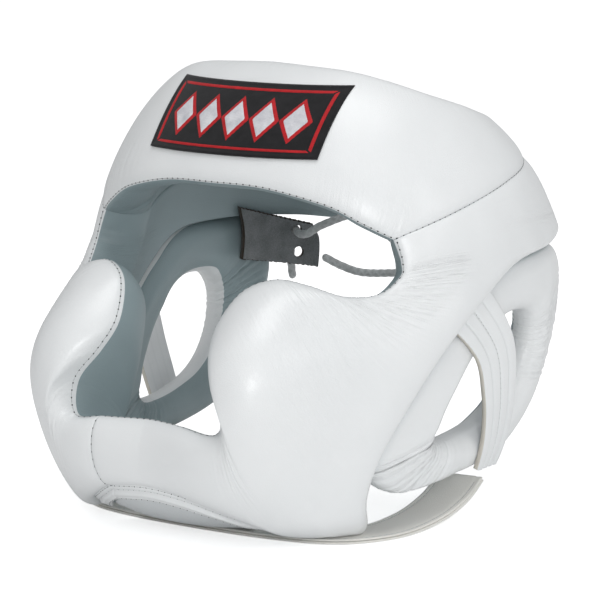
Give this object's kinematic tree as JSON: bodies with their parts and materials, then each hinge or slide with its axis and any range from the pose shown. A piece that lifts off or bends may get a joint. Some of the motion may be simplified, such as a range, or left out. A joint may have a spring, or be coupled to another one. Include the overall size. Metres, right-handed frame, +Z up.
{
  "type": "boxing headgear",
  "caption": "Padded leather full-face boxing headgear with cheek and chin protection, ringed ear holes, a forehead patch and a laced back.",
  "frame": {"origin": "on the surface that the headgear rests on, under the middle of its bounding box", "axes": "+Z up, the face looks along -Y, +X is the wearer's left"},
  "size_m": [0.2182, 0.2678, 0.2145],
  "materials": {
    "white_leather": "smooth white leather with a soft gloss",
    "cream_leather": "layered cream leather with a matt cut edge",
    "lining": "pale grey-blue smooth lining",
    "grey_suede": "dark grey suede with raw edges",
    "label_cloth": "black woven patch with a red line border",
    "lace_cord": "round white braided lace"
  },
  "bodies": {
    "root": {"forehead_pad": "white_leather", "side_shell_left": "white_leather", "side_shell_right": "white_leather", "ear_pad_left": "white_leather", "ear_pad_right": "white_leather", "ear_strap_left": "white_leather", "ear_strap_right": "white_leather", "chin_binding": "white_leather", "chin_strap": "cream_leather", "chin_cup": "lining", "back_tab_left": "grey_suede", "back_tab_right": "grey_suede", "brow_label": "label_cloth", "back_lace": "lace_cord"}
  },
  "joints": []
}
